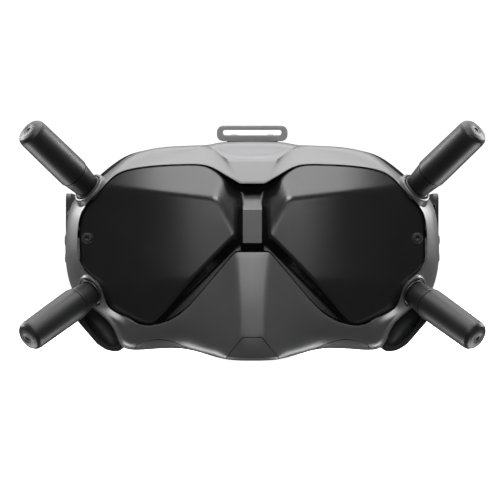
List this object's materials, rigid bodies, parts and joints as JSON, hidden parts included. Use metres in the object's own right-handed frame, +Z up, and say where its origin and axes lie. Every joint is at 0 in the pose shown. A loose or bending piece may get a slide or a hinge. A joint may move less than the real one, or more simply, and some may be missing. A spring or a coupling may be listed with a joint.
{
  "type": "fpv goggles",
  "caption": "Head-worn video goggles with a smoked visor, splayed stub antennas, padded face rim, sliding lens barrels and strap slots.",
  "frame": {"origin": "bottom centre of the object's box, under the middle of the nose bridge", "axes": "+X towards the wearer's left, +Y towards the wearer's face, +Z up; the visor looks along -Y"},
  "size_m": [0.2246, 0.1106, 0.1183],
  "materials": {
    "grey_paint": "satin grey paint on a moulded body",
    "visor_plastic": "smoked, semi-gloss moulding",
    "black_plastic": "fine matte texture",
    "antenna_plastic": "matte with a soft sheen",
    "foam_fabric": "foam under woven cloth",
    "aluminium": "bead blasted",
    "circuit_board": "solder mask",
    "steel": "turned",
    "lens_glass": "coated",
    "screen": "dark display glass",
    "rubber": "matte",
    "light_plastic": "light grey moulding",
    "dark_metal": "blackened"
  },
  "bodies": {
    "housing": {"front_cover": "grey_paint", "nose_insert": "grey_paint", "lower_trim_left": "grey_paint", "lower_trim_right": "grey_paint", "visor_panel": "visor_plastic", "rear_housing": "black_plastic", "face_frame": "black_plastic", "lens_shroud": "black_plastic", "fan_frame": "black_plastic", "intake_grille": "black_plastic", "side_panel_left": "black_plastic", "side_panel_right": "black_plastic", "strap_arm_left": "black_plastic", "strap_arm_right": "black_plastic", "stick_base": "black_plastic", "foam_padding": "foam_fabric", "mid_frame": "aluminium", "heat_sink": "aluminium", "main_board": "circuit_board", "upper_guide_rod": "steel", "lower_guide_rod": "steel", "visor_screw_left": "steel", "visor_screw_right": "steel", "power_jack": "steel", "audio_jack": "steel", "usb_port": "steel", "card_reader": "steel", "loop_pin": "steel", "channel_display": "screen", "antenna_connector_upper_left": "dark_metal", "antenna_connector_upper_right": "dark_metal", "antenna_connector_lower_left": "dark_metal", "antenna_connector_lower_right": "dark_metal"},
    "optics_left": {"lens_barrel_left": "black_plastic", "lens_left": "lens_glass", "display_left": "screen", "ipd_knob_left": "rubber"},
    "optics_right": {"lens_barrel_right": "black_plastic", "lens_right": "lens_glass", "display_right": "screen", "ipd_knob_right": "rubber"},
    "fan": {"fan_rotor": "black_plastic"},
    "stick_ring": {"stick_gimbal": "steel"},
    "stick_post": {"stick_stem": "steel"},
    "stick_top": {"stick_cap": "rubber"},
    "channel_up": {"channel_up_button": "rubber"},
    "channel_down": {"channel_down_button": "rubber"},
    "record": {"record_button": "rubber"},
    "back": {"back_button": "rubber"},
    "link": {"link_button": "rubber"},
    "socket_flap": {"port_cover": "rubber"},
    "strap_loop": {"top_strap_loop": "light_plastic"},
    "antenna_upper_left": {"antenna_neck_upper_left": "antenna_plastic", "antenna_sleeve_upper_left": "antenna_plastic"},
    "antenna_upper_right": {"antenna_neck_upper_right": "antenna_plastic", "antenna_sleeve_upper_right": "antenna_plastic"},
    "antenna_lower_left": {"antenna_neck_lower_left": "antenna_plastic", "antenna_sleeve_lower_left": "antenna_plastic"},
    "antenna_lower_right": {"antenna_neck_lower_right": "antenna_plastic", "antenna_sleeve_lower_right": "antenna_plastic"}
  },
  "joints": [
    {"name": "antenna_upper_left_unscrew", "type": "hinge", "parent": "housing", "child": "antenna_upper_left", "pos_m": [0.0812, -0.0212, 0.0856], "axis": [0.5955, -0.5299, 0.6038], "range_deg": [0, 1080]},
    {"name": "antenna_upper_right_unscrew", "type": "hinge", "parent": "housing", "child": "antenna_upper_right", "pos_m": [-0.0812, -0.0212, 0.0856], "axis": [-0.5955, -0.5299, 0.6038], "range_deg": [0, 1080]},
    {"name": "antenna_lower_left_unscrew", "type": "hinge", "parent": "housing", "child": "antenna_lower_left", "pos_m": [0.0796, -0.023, 0.0337], "axis": [0.6268, -0.6157, -0.4775], "range_deg": [0, 1080]},
    {"name": "antenna_lower_right_unscrew", "type": "hinge", "parent": "housing", "child": "antenna_lower_right", "pos_m": [-0.0796, -0.023, 0.0337], "axis": [-0.6268, -0.6157, -0.4775], "range_deg": [0, 1080]},
    {"name": "strap_loop_swing", "type": "hinge", "parent": "housing", "child": "strap_loop", "pos_m": [0, 0.0136, 0.1119], "axis": [1, 0, 0], "range_deg": [-100, 0]},
    {"name": "eye_spacing_left", "type": "slide", "parent": "housing", "child": "optics_left", "axis": [1, 0, 0], "range_m": [-0.003, 0.003]},
    {"name": "eye_spacing_right", "type": "slide", "parent": "housing", "child": "optics_right", "axis": [-1, 0, 0], "range_m": [-0.003, 0.003]},
    {"name": "fan_spin", "type": "hinge", "parent": "housing", "child": "fan", "pos_m": [0, -0.017, 0.0925], "axis": [0, 0, 1], "continuous": true},
    {"name": "stick_up_down", "type": "hinge", "parent": "housing", "child": "stick_ring", "pos_m": [-0.0872, -0.001, 0.071], "axis": [0, 1, 0], "range_deg": [-8, 8], "stiffness_Nm_per_rad": 0.02},
    {"name": "stick_fore_aft", "type": "hinge", "parent": "stick_ring", "child": "stick_post", "pos_m": [-0.0872, -0.001, 0.071], "axis": [0, 0, 1], "range_deg": [-8, 8], "stiffness_Nm_per_rad": 0.02},
    {"name": "stick_press", "type": "slide", "parent": "stick_post", "child": "stick_top", "axis": [1, 0, 0], "range_m": [0, 0.0004], "stiffness_N_per_m": 600, "springref_m": -0.001},
    {"name": "channel_up_press", "type": "slide", "parent": "housing", "child": "channel_up", "axis": [-1, 0, 0], "range_m": [0, 0.0004], "stiffness_N_per_m": 400, "springref_m": -0.001},
    {"name": "channel_down_press", "type": "slide", "parent": "housing", "child": "channel_down", "axis": [-1, 0, 0], "range_m": [0, 0.0004], "stiffness_N_per_m": 400, "springref_m": -0.001},
    {"name": "record_press", "type": "slide", "parent": "housing", "child": "record", "axis": [1, 0, 0], "range_m": [0, 0.0004], "stiffness_N_per_m": 400, "springref_m": -0.001},
    {"name": "back_press", "type": "slide", "parent": "housing", "child": "back", "axis": [1, 0, 0], "range_m": [0, 0.0004], "stiffness_N_per_m": 400, "springref_m": -0.001},
    {"name": "link_press", "type": "slide", "parent": "housing", "child": "link", "axis": [0, 0, 1], "range_m": [0, 0.0005], "stiffness_N_per_m": 400, "springref_m": -0.001},
    {"name": "socket_flap_swing", "type": "hinge", "parent": "housing", "child": "socket_flap", "pos_m": [-0.08152, 0.01, 0.01419], "axis": [0.6532, 0, -0.7572], "range_deg": [0, 100]}
  ]
}
